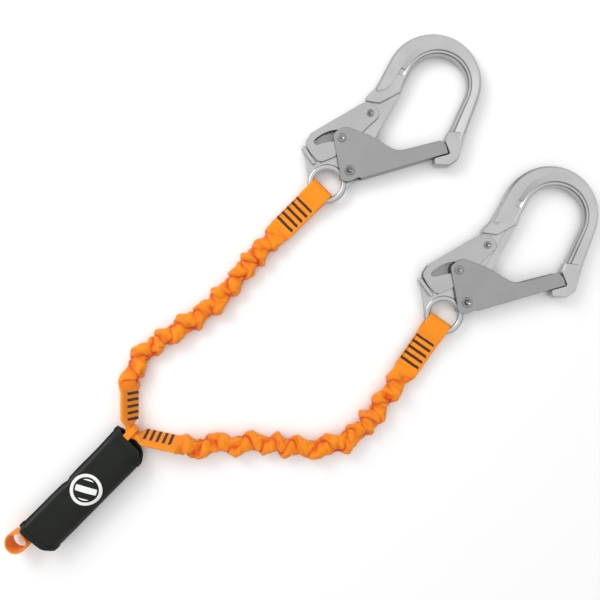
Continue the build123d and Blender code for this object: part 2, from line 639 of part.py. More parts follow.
def tear_pack():
    """The tear webbing, folded to and fro like a letter."""
    step = TEAR_PLY + TEAR_GAP
    low = (COVER_T - pack_height()) / 2
    solid = None
    for layer in range(TEAR_LAYERS):
        z = low + layer * step
        ply = Pos(0, 0, z + TEAR_PLY / 2) * Box(TEAR_L, TEAR_W, TEAR_PLY)
        solid = ply if solid is None else solid + ply
        if layer < TEAR_LAYERS - 1:
            side = 1 if layer % 2 == 0 else -1
            turn = Pos(side * (TEAR_L / 2), 0, z + TEAR_PLY + TEAR_GAP / 2) * Rot(90, 0, 0) * Cylinder(
                TEAR_PLY + TEAR_GAP / 2, TEAR_W)
            half = Pos(side * (TEAR_L / 2 + 5), 0, z + TEAR_PLY) * Box(10, TEAR_W, 12)
            hollow = Pos(side * (TEAR_L / 2), 0, z + TEAR_PLY + TEAR_GAP / 2) * Rot(90, 0, 0) * Cylinder(
                TEAR_GAP / 2, TEAR_W)
            solid = solid + ((turn & half) - hollow)
    return solid


def closure_tapes():
    """The hook tape and the loop tape that close the cover along its side."""
    return [Pos(0, y, COVER_T / 2) * Box(TAPE_L, TAPE_T, TAPE_W) for y in TAPE_Y]


def marking_label():
    """The folded textile label on top of the pack, under the cover."""
    leaf = Box(LABEL_L, LABEL_W, LABEL_LEAF)
    lift = 1.4 * LABEL_LEAF
    fold = Pos(-LABEL_L / 2, 0, lift / 2) * Box(LABEL_LEAF, LABEL_W, lift + LABEL_LEAF)
    low = (COVER_T + pack_height()) / 2 + 1.0
    return Pos(LABEL_X, 0, low) * (leaf + Pos(0, 0, lift) * leaf + fold)


def pack_threads():
    """Two rows of tack lines on the pack's top and bottom faces."""
    threads = []
    for row in range(TACK_COUNT):
        x = (row - (TACK_COUNT - 1) / 2) * TACK_PITCH
        for side in (1, -1):
            height = COVER_T / 2 + side * (pack_height() + BAR_T) / 2
            threads.append(Pos(x, 0, height) * Box(TACK_W, TEAR_W - 6, BAR_T))
    return threads


def fork_apex():
    """The middle of the fork strap's bend."""
    to_a = (Vector(*FORK_A_TOP) - Vector(*FORK_CORNER)).normalized()
    to_b = (Vector(*FORK_B_END) - Vector(*FORK_CORNER)).normalized()
    half_turn = math.radians((180 - to_a.get_angle(to_b)) / 2)
    return Vector(*FORK_CORNER) + (to_a + to_b).normalized() * (FORK_BEND_R * (1 / math.cos(half_turn) - 1))


def in_cover(point):
    """A bench point in the cover's own frame."""
    x, y = turned((point[0] - COVER_C[0], point[1] - COVER_C[1]), (0, 0), -COVER_ANGLE)
    return x, y


def absorber_loop():
    """The absorber's own loop, round the fold of the fork strap. Seen from the side."""
    apex = fork_apex()
    tail = in_cover((apex.X, apex.Y))[0] - TEAR_L / 2 - TEAR_PLY - TEAR_GAP / 2
    nose = LOOP_NOSE
    half = LOOP_HALF
    outer = outline([(nose, half - 4, 3), (nose - 3.6, half, 4), (-7.5, half, 5), (-LOOP_NECK, PLY, 4),
                     (-tail, PLY, 0), (-tail, -PLY, 0), (-LOOP_NECK, -PLY, 4), (-7.5, -half, 5),
                     (nose - 3.6, -half, 4), (nose, 4 - half, 3)])
    nose -= PLY
    half -= PLY
    hole = outline([(nose, half - 2.8, 2.5), (nose - 2.6, half, 2.5), (-6.8, half, 3),
                    (-LOOP_NECK + 3.5, 0, 0.4), (-6.8, -half, 3), (nose - 2.6, -half, 2.5),
                    (nose, 2.8 - half, 2.5)])
    band = extrude(Plane.XZ * (outer - hole), amount=LOOP_W / 2, both=True)
    return Pos(apex.X, apex.Y, FORK_Z) * Rot(0, 0, COVER_ANGLE) * band


def harness_loop():
    """A band of webbing standing on its edge, its two ends led to the end of the tear webbing."""
    outer_r = HARNESS_R + PLY
    tail = HARNESS_TAIL
    half = PLY + 0.4
    elbow = tail - 3
    outer_face = Circle(outer_r) + Pos(elbow / 2, 0) * Rectangle(elbow, 2 * half) + Pos(elbow, 0) * Circle(half)
    web = make_face(Polyline((4.0, outer_r - 0.8), (tail - 6, PLY + 0.4), (tail - 6, -PLY - 0.4),
                             (4.0, 0.8 - outer_r), close=True))
    hollow = Circle(HARNESS_R) + make_face(Polyline((3.2, HARNESS_R - 0.6), (tail - 8, 0.2), (tail - 8, -0.2),
                                                    (3.2, 0.6 - HARNESS_R), close=True))
    band = slab(outer_face + web - hollow, -HARNESS_BAND_H / 2, HARNESS_BAND_H / 2)
    turn = math.radians(HARNESS_ANGLE)
    start = Vector(*in_cover((HARNESS_C[0] + elbow * math.cos(turn), HARNESS_C[1] + elbow * math.sin(turn))))
    end = Vector(-TEAR_L / 2 - TEAR_PLY - TEAR_GAP / 2, HARNESS_SEWN_Y)
    beside = (end - start).normalized().rotate(Axis.Z, 90) * half
    lead_face = make_face(Polyline(start + beside, (end.X, end.Y + half), (end.X, end.Y - half),
                                   start - beside, close=True))
    lead = slab(lead_face, -HARNESS_BAND_H / 2, HARNESS_BAND_H / 2)
    loop = Pos(*HARNESS_C, COVER_T / 2) * Rot(0, 0, HARNESS_ANGLE) * band
    return loop + Pos(*COVER_C, COVER_T / 2) * Rot(0, 0, COVER_ANGLE) * lead


# ------------------------------------------------------------------ build it all
def main():
    body = hook_body()
    springs_low = WEB_HALF - 2.0 + 0.15
    pieces = {
        "body": [body],
        "gate_rivet": [rivet(GATE_PIVOT, GATE_RIVET_R, GATE_HEAD_R, GATE_OUT + 0.1, 3.6, 1.6)],
        "lever_rivet": [rivet(LEVER_PIVOT, LEVER_RIVET_R, LEVER_HEAD_R, LEVER_OUT + 0.1, 2.4, 1.0)],
        "gate": [gate()],
        "latch_pin": [rivet(LATCH_PIN, LATCH_PIN_R, LATCH_HEAD_R, GATE_OUT, 2.6, 0.8)],
        "gate_spring": [coil_spring(GATE_PIVOT, WEB_HALF + 0.15, -110, 9.0)],
        "lock_lever": [lever()],
        "lever_spring": [coil_spring(LEVER_PIVOT, springs_low, 170, 9.0)],
    }
    for side, eye in EYES.items():
        place = Pos(*eye, HOOK_Z) * Rot(0, 0, HOOK_ANGLE)
        for name, solids in pieces.items():
            save(f"hook_{side}_{name}", *[place * solid for solid in solids])
        strap_place = Pos(*eye, HOOK_Z) * Rot(0, 0, STRAP_ANGLES[side])
        save(f"leg_{side}_hook_loop", strap_place * strap_loop())
        save(f"leg_{side}_hook_stitching", *[strap_place * bar for bar in stitch_bars(BAR_FIRST_X, PLY)])
        skin, core = leg_tube(leg_points(side))
        save(f"leg_{side}_webbing", skin)
        save(f"leg_{side}_elastic", core)
    save("fork_strap", fork())
    save("fork_stitching_a", *fork_bars(FORK_A_TOP, 1, FORK_BARS_A))
    save("fork_stitching_b", *fork_bars(FORK_B_END, -1, FORK_BARS_B))
    save("absorber_loop", absorber_loop())
    save("absorber_cover", to_cover(cover()))
    save("tear_webbing", to_cover(tear_pack()))
    save("tear_stitching", *[to_cover(thread) for thread in pack_threads()])
    hook_tape, loop_tape = closure_tapes()
    save("closure_hook_tape", to_cover(hook_tape))
    save("closure_loop_tape", to_cover(loop_tape))
    save("marking_label", to_cover(marking_label()))
    save("harness_loop", harness_loop())


main()
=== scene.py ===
# %% [markdown]
# # A shock absorbing lanyard
# Two forged aluminium scaffold hooks hang on two elasticated webbing legs. The legs meet in a fork
# strap, and a padded absorber and a harness loop hang on that. The hooks are loaded as finished
# machined parts and only need their metal. Everything that is woven or sewn is made here.

# %% Load the frame
import math

import bpy
from mathutils import Matrix, Vector, noise


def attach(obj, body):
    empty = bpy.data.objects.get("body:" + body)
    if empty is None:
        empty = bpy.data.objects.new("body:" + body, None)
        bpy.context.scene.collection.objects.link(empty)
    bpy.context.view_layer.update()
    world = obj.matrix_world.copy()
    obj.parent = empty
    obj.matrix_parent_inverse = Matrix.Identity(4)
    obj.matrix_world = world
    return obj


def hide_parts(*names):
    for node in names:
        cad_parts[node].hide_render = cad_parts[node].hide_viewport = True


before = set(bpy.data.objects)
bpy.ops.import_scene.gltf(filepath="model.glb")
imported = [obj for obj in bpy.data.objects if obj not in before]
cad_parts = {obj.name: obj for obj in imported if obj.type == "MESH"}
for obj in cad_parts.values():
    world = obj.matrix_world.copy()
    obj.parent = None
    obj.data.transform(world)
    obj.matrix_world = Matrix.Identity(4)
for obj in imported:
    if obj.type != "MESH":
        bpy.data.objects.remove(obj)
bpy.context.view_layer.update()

MM = 0.001

# %% [markdown]
# ## Camera
# The lanyard lies on a bench and is seen from straight above, from about 0.75 m over the hooks. A
# long look from further away would flatten the hooks. This near one shows a little of the inner
# walls of the bows, which gives them their depth.

# %% Camera
HOOK_Z = 9.3 * MM
CAMERA_REACH = 0.75
CAMERA_PLACE = (-1.5 * MM, -7.0 * MM)
FRAME_WIDTH = 0.690
SENSOR = 36.0
camera_data = bpy.data.cameras.new("bench_camera")
camera_data.sensor_width = SENSOR
camera_data.lens = SENSOR * CAMERA_REACH / FRAME_WIDTH
camera = bpy.data.objects.new("bench_camera", camera_data)
camera.location = (*CAMERA_PLACE, HOOK_Z + CAMERA_REACH)
bpy.context.scene.collection.objects.link(camera)
bpy.context.scene.camera = camera
print("lens", round(camera_data.lens, 1), "mm")

# %% [markdown]
# ## Where the sewn pieces lie
# The legs' routes, the fork's corner and the eyes are the driving places. They are given in
# millimetres, as a rigger would measure them on the bench.

# %% Places
EYES = {"a": Vector((29.6, 126.5)), "b": Vector((163.4, -24.1))}
STRAP_ANGLES = {"a": 225.0, "b": 235.4}
FORK_A_TOP = Vector((-195.6, -110.0))
FORK_CORNER = Vector((-195.6, -159.5))
FORK_B_END = Vector((-141.0, -171.6))
COVER_C = Vector((-249.2, -224.5))
COVER_ANGLE = 45.4
COVER_T = 32.0
HARNESS_C = Vector((-321.4, -280.2))
HARNESS_ANGLE = 66.0
STRAP_W = 28.0
PLY = 2.2
STRAP_END_X = 72.0
HOOK_LEAD = 24.0
FORK_LEAD = 16.0
FORK_Z = 15.9
FORK_LEAN = 62.0              # degrees the fork strap leans from lying flat
UP = Vector((0, 0, 1))
ROUTES = {
    "a": [(-62.5, 32.5), (-81.0, 8.5), (-102.5, -14.0), (-128.0, -33.0), (-152.5, -47.5),
          (-174.0, -62.0), (-188.5, -79.0)],
    "b": [(96.0, -120.5), (82.0, -141.0), (64.0, -160.5), (41.0, -173.5), (15.0, -177.5),
          (-11.0, -175.5), (-37.0, -172.0), (-60.0, -170.5), (-82.0, -171.5), (-104.0, -174.0)],
}


def polar(centre, radius, angle):
    """The point at an angle in degrees on a circle."""
    turn = math.radians(angle)
    return centre + Vector((math.cos(turn), math.sin(turn))) * radius


def leg_route(side):
    """A leg's points on the bench, from the hook's strap to the fork strap."""
    end = FORK_A_TOP if side == "a" else FORK_B_END
    away = (end - FORK_CORNER).normalized() * FORK_LEAD
    return [polar(EYES[side], STRAP_END_X, STRAP_ANGLES[side]),
            polar(EYES[side], STRAP_END_X + HOOK_LEAD, STRAP_ANGLES[side]),
            *[Vector(point) for point in ROUTES[side]],
            end + away,
            end]


# %% [markdown]
# ## Building blocks
# A woven strap is a long closed strip with rounded edges. All of them are made by one function
# that joins a ring of points at each station along a line, because a strap's twist, lean and
# gathers change from station to station, which a bevelled curve can't follow. Each strip keeps its
# own measure in its UV map, in metres across and along, so that the weave follows the strap.

# %% A skin over rings of points
def ring_skin(name, rings, marks, closed=False, attribute=None):
    """A mesh over rings of equally many points, in millimetres, with (across, along) UVs in metres."""
    count = len(rings[0])
    vertices = [tuple(point * MM) for ring in rings for point in ring]
    faces = []
    corners = []
    last = len(rings) if closed else len(rings) - 1
    for row in range(last):
        after = (row + 1) % len(rings)
        for column in range(count):
            beside = (column + 1) % count
            faces.append((row * count + column, row * count + beside,
                          after * count + beside, after * count + column))
            right = marks[0][column + 1]
            top = marks[1][row + 1]
            corners += [(marks[0][column], marks[1][row]), (right, marks[1][row]),
                        (right, top), (marks[0][column], top)]
    if not closed:
        faces.append(tuple(range(count - 1, -1, -1)))
        faces.append(tuple((len(rings) - 1) * count + column for column in range(count)))
        corners += [(marks[0][column], marks[1][0]) for column in range(count - 1, -1, -1)]
        corners += [(marks[0][column], marks[1][-1]) for column in range(count)]
    mesh = bpy.data.meshes.new(name)
    mesh.from_pydata(vertices, [], faces)
    layer = mesh.uv_layers.new(name="strap")
    for loop, corner in zip(layer.data, corners):
        loop.uv = (corner[0] * MM, corner[1] * MM)
    if attribute:
        values = mesh.attributes.new(attribute[0], "FLOAT", "POINT")
        for item, value in zip(values.data, attribute[1]):
            item.value = value
    piece = bpy.data.objects.new(name, mesh)
    bpy.context.scene.collection.objects.link(piece)
    bpy.ops.object.select_all(action="DESELECT")
    bpy.context.view_layer.objects.active = piece
    piece.select_set(True)
    bpy.ops.object.mode_set(mode="EDIT")
    bpy.ops.mesh.select_all(action="SELECT")
    bpy.ops.mesh.normals_make_consistent(inside=False)
    bpy.ops.object.mode_set(mode="OBJECT")
    bpy.ops.object.shade_smooth_by_angle(angle=math.radians(50))
    return piece


def running_marks(points, closed=False):
    """The distance along a row of points, for the weave."""
    marks = [0.0]
    row = list(points) + ([points[0]] if closed else [])
    for before, after in zip(row, row[1:]):
        marks.append(marks[-1] + (after - before).length)
    return marks


# %% A strap's cross-section
def strap_section(width, thickness, across=16):
    """A flat strap's outline as (along the width, along the thickness) points, edges rounded."""
    half_w = width / 2 - thickness / 2
    half_t = thickness / 2
    outline = []
    for step in range(across + 1):
        outline.append((-half_w + 2 * half_w * step / across, half_t))
    for step in range(1, 4):
        turn = math.pi / 2 - math.pi * step / 4
        outline.append((half_w + half_t * math.cos(turn), half_t * math.sin(turn)))
    for step in range(across + 1):
        outline.append((half_w - 2 * half_w * step / across, -half_t))
    for step in range(1, 4):
        turn = -math.pi / 2 - math.pi * step / 4
        outline.append((-half_w + half_t * math.cos(turn), half_t * math.sin(turn)))
    return outline


def smooth_line(points, spacing=1.5, order=3):
    """Points along the NURBS curve that a row of points controls."""
    curve = bpy.data.curves.new("line", "CURVE")
    curve.dimensions = "3D"
    spline = curve.splines.new("NURBS")
    spline.points.add(len(points) - 1)
    for slot, point in zip(spline.points, points):
        slot.co = (*point, 1.0)
    spline.order_u = order
    spline.use_endpoint_u = True
    spline.resolution_u = 16
    holder = bpy.data.objects.new("line", curve)
    bpy.context.scene.collection.objects.link(holder)
    mesh = bpy.data.meshes.new_from_object(holder)
    fine = [vertex.co.copy() for vertex in mesh.vertices]
    bpy.data.objects.remove(holder)
    bpy.data.meshes.remove(mesh)
    marks = running_marks(fine)
    count = max(4, round(marks[-1] / spacing))
    even = []
    at = 0
    for step in range(count + 1):
        want = marks[-1] * step / count
        while at < len(marks) - 2 and marks[at + 1] < want:
            at += 1
        share = (want - marks[at]) / max(1e-9, marks[at + 1] - marks[at])
        even.append(fine[at].lerp(fine[at + 1], min(1.0, share)))
    return even


def directions(line):
    """The unit direction of travel at each point of a line."""
    ways = []
    for index in range(len(line)):
        before = line[max(0, index - 1)]
        after = line[min(len(line) - 1, index + 1)]
        ways.append((after - before).normalized())
    return ways


def drifting(*place):
    """A slow random value from -1 to 1, by place."""
    return noise.noise(Vector(place))


def left_of(way):
    """The level unit direction to the left of a direction of travel."""
    return -way.cross(UP).normalized()


print("helpers ready")

# %% [markdown]
# ## Colours and nodes
# One function turns a colour code into the linear values that a shader works in, and one adds a
# node with its settings and links. Every material below is built with these two.

# %% Colour and node helpers
def linear(code):
    """An sRGB hex colour as linear RGBA."""
    values = [int(code[place:place + 2], 16) / 255 for place in (1, 3, 5)]
    return [v / 12.92 if v <= 0.04045 else ((v + 0.055) / 1.055) ** 2.4 for v in values] + [1.0]


def add_node(tree, kind, settings=(), inputs=()):
    """One node with its settings and its inputs, each a value or a socket to link from."""
    node = tree.nodes.new(kind)
    for name, value in dict(settings).items():
        setattr(node, name, value)
    for name, value in dict(inputs).items():
        if isinstance(value, bpy.types.NodeSocket):
            tree.links.new(value, node.inputs[name])
        else:
            node.inputs[name].default_value = value
    return node


def maths(tree, operation, *inputs, clamp=False):
    """The result of one arithmetic step."""
    settings = {"operation": operation, "use_clamp": clamp}
    return add_node(tree, "ShaderNodeMath", settings, dict(enumerate(inputs))).outputs[0]


def start_material(name, values):
    """A new material with constant values on its shader."""
    material = bpy.data.materials.new(name)
    material.use_nodes = True
    shader = material.node_tree.nodes["Principled BSDF"]
    for socket, value in values.items():
        shader.inputs[socket].default_value = value
    return material, material.node_tree, shader


def two_colours(tree, factor, low, high):
    """A colour between two hex colours, by a factor from 0 to 1."""
    mixer = add_node(tree, "ShaderNodeMix", {"data_type": "RGBA"},
                     {0: factor, 6: linear(low), 7: linear(high)})
    return mixer.outputs[2]


# %% [markdown]
# ## Metals
# The hook bodies are forged aluminium, tumbled with ceramic stones until every edge is soft and the
# surface is an even pale satin. The eye reads that from a fine grain, a slow change of shade and
# broad soft reflections, so the material has a noise at half a millimetre for the grain and one at
# 25 mm for the shade. The gate and lever are punched and folded sheet, a little darker and smoother.

# %% Metals
def satin_metal(name, low, high, roughness, grain_mm, depth_mm, drawn=(1.0, 1.0, 1.0)):
    """A satin metal with a fine grain and a slow change of shade."""
    material, tree, shader = start_material(name, {"Metallic": 1.0})
    place = add_node(tree, "ShaderNodeTexCoord").outputs["Object"]
    stretched = add_node(tree, "ShaderNodeMapping", {}, {"Vector": place, "Scale": drawn}).outputs[0]
    grain = add_node(tree, "ShaderNodeTexNoise", {},
                     {"Vector": stretched, "Scale": 1 / (grain_mm * MM), "Detail": 3.0}).outputs["Fac"]
    cloud = add_node(tree, "ShaderNodeTexNoise", {},
                     {"Vector": place, "Scale": 1 / (25 * MM), "Detail": 4.0}).outputs["Fac"]
    both = maths(tree, "MULTIPLY_ADD", cloud, 0.65, maths(tree, "MULTIPLY", grain, 0.35))
    tree.links.new(two_colours(tree, both, low, high), shader.inputs["Base Color"])
    rough = add_node(tree, "ShaderNodeMapRange", {},
                     {"Value": both, "To Min": roughness - 0.06, "To Max": roughness + 0.07})
    tree.links.new(rough.outputs[0], shader.inputs["Roughness"])
    bump = add_node(tree, "ShaderNodeBump", {}, {"Height": grain, "Strength": 0.35,
                                                 "Distance": depth_mm * MM})
    tree.links.new(bump.outputs[0], shader.inputs["Normal"])
    return material


tumbled_aluminium = satin_metal("tumbled forged aluminium", "#A2A2A2", "#C4C4C3", 0.34, 0.6, 0.05)
gate_sheet = satin_metal("satin anodised gate sheet", "#8C8C8C", "#A0A0A0", 0.40, 0.5, 0.03)
lever_sheet = satin_metal("satin anodised lever sheet", "#A0A0A0", "#B8B8B8", 0.38, 0.5, 0.03)
rivet_steel = satin_metal("zinc plated rivet steel", "#6F6F70", "#98989A", 0.26, 0.4, 0.02)
spring_wire = satin_metal("drawn spring wire", "#6E6E70", "#8C8C8E", 0.25, 0.3, 0.01, (1.0, 1.0, 4.0))

METALS = {"body": tumbled_aluminium, "gate_rivet": rivet_steel, "lever_rivet": rivet_steel,
          "latch_pin": rivet_steel, "gate": gate_sheet, "lock_lever": lever_sheet,
          "gate_spring": spring_wire, "lever_spring": spring_wire}


def finish_node(node, material):
    """Gives a loaded part its finish."""
    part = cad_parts[node]
    part.data.materials.clear()
    part.data.materials.append(material)


for side in EYES:
    for piece_name, metal in METALS.items():
        finish_node(f"hook_{side}_{piece_name}", metal)
print("metals on", 2 * len(METALS), "parts")

# %% [markdown]
# ## Woven polyester
# Leg webbing is a tight plain weave of bright polyester yarn. Each yarn is about 1 mm wide, and it
# passes over and under its neighbours, so the height is a checker of two sets of rounded ribs, and
# the colour is painted darker in the low places of that checker as shade between the yarns. Deep
# inside a fold, light has bounced off orange twice before it leaves, so a fold is painted red as
# shade, and the gathers carry that painted shade as a value on each point.

# %% Webbing
def woven_height(tree, coordinates, yarn_mm):
    """The height of a plain weave whose yarns are that wide."""
    scaled = add_node(tree, "ShaderNodeVectorMath", {"operation": "SCALE"},
                      {0: coordinates, "Scale": 1 / (yarn_mm * MM)}).outputs[0]
    checks = add_node(tree, "ShaderNodeTexChecker", {}, {"Vector": scaled, "Scale": 1.0}).outputs["Fac"]
    split = add_node(tree, "ShaderNodeSeparateXYZ", {}, {0: scaled})
    ribs = []
    for axis in ("X", "Y"):
        turned = maths(tree, "MULTIPLY", split.outputs[axis], math.pi)
        ribs.append(maths(tree, "ABSOLUTE", maths(tree, "SINE", turned)))
    return add_node(tree, "ShaderNodeMix", {"data_type": "FLOAT"},
                    {0: checks, 2: ribs[0], 3: ribs[1]}).outputs[0]


YARN_DEPTH = 0.22


def webbing(name, bright, deep, fold_shade_colour=None, yarn_mm=1.1):
    """A woven strap, its weave from the strap's own UV map, its painted fold shade from the skin's fold
    values.
    """
    material, tree, shader = start_material(name, {"Roughness": 0.72, "Sheen Weight": 0.25,
                                                   "Sheen Roughness": 0.4, "Specular IOR Level": 0.3})
    strap = add_node(tree, "ShaderNodeUVMap", {"uv_map": "strap"}).outputs[0]
    height = woven_height(tree, strap, yarn_mm)
    place = add_node(tree, "ShaderNodeTexCoord").outputs["Object"]
    cloud = add_node(tree, "ShaderNodeTexNoise", {},
                     {"Vector": place, "Scale": 1 / (9 * MM), "Detail": 5.0}).outputs["Fac"]
    # painted shade: the weave's low places are darker, as shade between the yarns; the slow cloud adds a
    # random change of tone
    woven = maths(tree, "MULTIPLY_ADD", height, 0.45, 0.12, clamp=True)
    weave_shade_and_tone = maths(tree, "MULTIPLY_ADD", cloud, 0.55, woven, clamp=True)
    colour = two_colours(tree, weave_shade_and_tone, deep, bright)
    if fold_shade_colour:
        # painted shade: the skin's fold values mix in a darker red where light is shut in the folds
        depth = add_node(tree, "ShaderNodeAttribute", {"attribute_name": "fold"}).outputs["Fac"]
        colour = add_node(tree, "ShaderNodeMix", {"data_type": "RGBA"},
                          {0: depth, 6: colour, 7: linear(fold_shade_colour)}).outputs[2]
    tree.links.new(colour, shader.inputs["Base Color"])
    bump = add_node(tree, "ShaderNodeBump", {}, {"Height": height, "Strength": 0.7,
                                                 "Distance": YARN_DEPTH * MM})
    tree.links.new(bump.outputs[0], shader.inputs["Normal"])
    return material


flat_webbing = webbing("orange polyester webbing", "#FF9A18", "#F07C08")
# D84204 is the painted shade colour deep in the legs' folds
gathered_webbing = webbing("gathered orange webbing", "#FF9C16", "#F58208", "#D84204", yarn_mm=1.0)
elastic_tape = webbing("covered rubber elastic", "#DAD6CC", "#B9B4A8", yarn_mm=1.4)
print("webbing ready")

# %% [markdown]
# ## Gathered legs
# Each leg is tubular webbing crimped over a stretched elastic. When the elastic relaxes, the tube
# is too long for it and buckles, so lobes stand out left and right by turns, with a winding valley
# between them. The skin is a ring of points at each 0.8 mm of the leg's smooth line. A point stands
# out by how full its lobe is, and is drawn in where the valley passes. Slow noise bends the valley
# and changes the pitch along the leg, because no two folds of real webbing are alike.

# %% Gathers
FOLD_PITCH = {"a": 27.0, "b": 29.0}     # from one lobe to the next on the same side
SWING = {"a": (1.4, 2.2), "b": (1.4, 3.4)}      # the tube's swing to each side, at the hook and at the fork
HALF_W = 12.2
HALF_H = 8.6
VALLEY = 0.20                           # how far the valley is drawn in, of the skin's reach
ROLL = 12.0                             # degrees that the tube rolls between two folds
AROUND = 56
HOOK_FLAT = 26.0                        # the tube flattens into its sewn straps over these lengths
FORK_FLAT = 15.0
RESTING = 0.1                           # the skin's underside is pressed flat where it lies on the bench
RING_STEP = 0.8                         # from one ring of the skin to the next
LIFT = 2.5                              # the leg's rise at its last point before the fork strap
SEEDS = {"a": 3.0, "b": 11.0}
CLOTH_RUN = 1.6                         # the cloth is longer than the leg, so its weave is closer along it
CORE_SIZE = (9.0, 3.0)


def eased(value):
    """A smooth step from 0 to 1."""
    value = max(0.0, min(1.0, value))
    return value * value * (3 - 2 * value)


def lobes(phase, across):
    """How full the skin is at a point, and how near it is to the valley between two lobes."""
    middle, reach, valley_width = 0.62, 0.55, 0.20
    left = abs(math.cos(phase / 2)) * eased(middle + reach * across)
    right = abs(math.sin(phase / 2)) * eased(middle - reach * across)
    return max(left, right), math.exp(-abs(left - right) / valley_width)


def skin_point(phase, along, turn, seed):
    """A ring's point as a share of the full skin, and how deep in a fold or dent it is, as painted shade.
    """
    across = math.cos(turn)
    height = math.sin(turn)
    warp = drifting(along / 8, across * 1.1, seed + 20 + height)
    skew = drifting(along / 10, across * 0.7, seed + 40 + height)
    full, valley = lobes(phase + 0.7 * height + 1.6 * warp, across + 0.7 * skew)
    valley *= max(0.15, min(1.0, 0.75 + 1.3 * skew))
    wrinkle = drifting(along / 2.6, across * 1.6, seed + height * 1.6)
    bulge = drifting(along / 7.5, across * 1.2 + 5, seed + height * 1.2)
    reach = 0.64 + 0.40 * full - VALLEY * valley + 0.12 * bulge + 0.05 * wrinkle
    # painted shade: darker in the valley between lobes, where a lobe is less full, and in the dents of the
    # slow and fine noise
    shade = 0.8 * valley + 0.6 * (1 - full) ** 2 + 0.5 * max(0.0, -bulge) + 0.5 * max(0.0, -wrinkle)
    # powers below one square the round ring up a little
    x = math.copysign(abs(across) ** 0.7, across)
    y = math.copysign(abs(height) ** 0.75, height)
    return Vector((x, y)) * reach, shade


def sewn_point(turn):
    """A ring's point where the tube is sewn flat into its strap."""
    across = max(-1.0, min(1.0, math.cos(turn) * 1.5))
    height = max(-1.0, min(1.0, math.sin(turn) * 2.6))
    return Vector((across * STRAP_W / 2, height * PLY))


def gathered_leg(side):
    """The gathered skin of one leg, its line, its length and the middle of its folds."""
    route = [Vector((*point, HOOK_Z / MM)) for point in leg_route(side)]
    route[-2].z = HOOK_Z / MM + LIFT
    route[-1].z = FORK_Z
    line = smooth_line(route, spacing=RING_STEP)
    marks = running_marks(line)
    length = marks[-1]
    ways = directions(line)
    outward = -1 if side == "a" else 1
    seed = SEEDS[side]
    near_hook, near_fork = SWING[side]
    rings = []
    fold_shades = []
    middles = []
    phase = 0.4
    for centre, way, along in zip(line, ways, marks):
        pace = 1.0 + 0.9 * drifting(along / 24, seed, 0.3)
        phase += 2 * math.pi * RING_STEP / FOLD_PITCH[side] * pace
        drift = 1.0 + 0.6 * drifting(along / 21, seed, 4.1)
        loose = min(eased(along / HOOK_FLAT), eased((length - along) / FORK_FLAT))
        swing = near_hook + (near_fork - near_hook) * along / length
        middle = centre + left_of(way) * (swing * drift * math.sin(phase) * loose)
        roll = Matrix.Rotation(math.radians(ROLL) * drift * math.cos(phase) * loose, 2)
        to_fork = eased(1 - (length - along) / FORK_FLAT)
        lean = Matrix.Rotation(math.radians(FORK_LEAN) * to_fork * outward, 2)
        ring = []
        for step in range(AROUND):
            turn = 2 * math.pi * step / AROUND
            share, shade = skin_point(phase, along, turn, seed)
            puffy = roll @ Vector((share.x * HALF_W, share.y * HALF_H)) * (0.7 + 0.3 * drift)
            where = (lean @ sewn_point(turn)).lerp(puffy, loose)
            point = middle + left_of(way) * where.x + UP * where.y
            point.z = max(point.z, RESTING)
            ring.append(point)
            # painted fold shade, weaker where the tube is sewn flat
            fold_shades.append(min(1.0, (0.25 + 0.75 * loose) * shade))
        rings.append(ring)
        middles.append(middle)
    around = running_marks(rings[len(rings) // 2], closed=True)
    skin = ring_skin(f"leg_{side}_gathers", rings, (around, [mark * CLOTH_RUN for mark in marks]),
                     attribute=("fold", fold_shades))
    skin.data.materials.append(gathered_webbing)
    return skin, line, length, middles


def elastic(side, line):
    """The flat elastic inside a leg, along the middle of its folds."""
    section = strap_section(*CORE_SIZE, across=6)
    ways = directions(line)
    rings = []
    for centre, way in zip(line[6:-6:4], ways[6:-6:4]):
        rings.append([centre + left_of(way) * u + UP * w for u, w in section])
    marks = running_marks([ring[0] for ring in rings])
    core = ring_skin(f"leg_{side}_elastic_core", rings, (running_marks(rings[0], closed=True), marks))
    core.data.materials.append(elastic_tape)
    return core


for side in EYES:
    skin, line, length, middles = gathered_leg(side)
    core = elastic(side, middles)
    for piece in (skin, core):
        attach(piece, "root")
    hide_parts(f"leg_{side}_webbing")
    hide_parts(f"leg_{side}_elastic")
    print(f"leg {side}: {length:.0f} mm, {len(skin.data.polygons)} faces")

# %% [markdown]
# ## The straps round the hooks' eyes
# The end of each leg is folded round the hook's eye and sewn back on itself. Seen from the side the
# strap is a slim loop that closes where the first tack is. The loop is one line of one ply, from its
# lower end round the eye and back, and the strip follows it. A slow wave keeps the woven edges from
# looking machined.

# %% Hook straps
def placed(origin, angle, height):
    """A matrix, in millimetres, from a strap's own frame to the bench."""
    return Matrix.Translation((origin.x, origin.y, height)) @ Matrix.Rotation(math.radians(angle), 4, "Z")


def band(name, line, width, thickness, side_way, wave=0.25):
    """A strip of webbing along a line, in millimetres. side_way is the direction of its width."""
    section = strap_section(width, thickness)
    ways = directions(line)
    rings = []
    for index, (centre, way) in enumerate(zip(line, ways)):
        normal = way.cross(side_way).normalized()
        ring = []
        for u, w in section:
            lift = drifting(index / 9, u / 8, width) * wave
            ring.append(centre + side_way * u + normal * (w + lift))
        rings.append(ring)
    marks = running_marks(line)
    piece = ring_skin(name, rings, (running_marks(rings[0], closed=True), marks))
    piece.data.materials.append(flat_webbing)
    return piece


EYE_CLEAR = 4.5               # from the strap's middle to the inside of its loop
JOIN_X = 31.2                 # where the two plies meet
LOOP_OUTSIDE_X = 4.8          # from the eye's centre to the outside of the fold


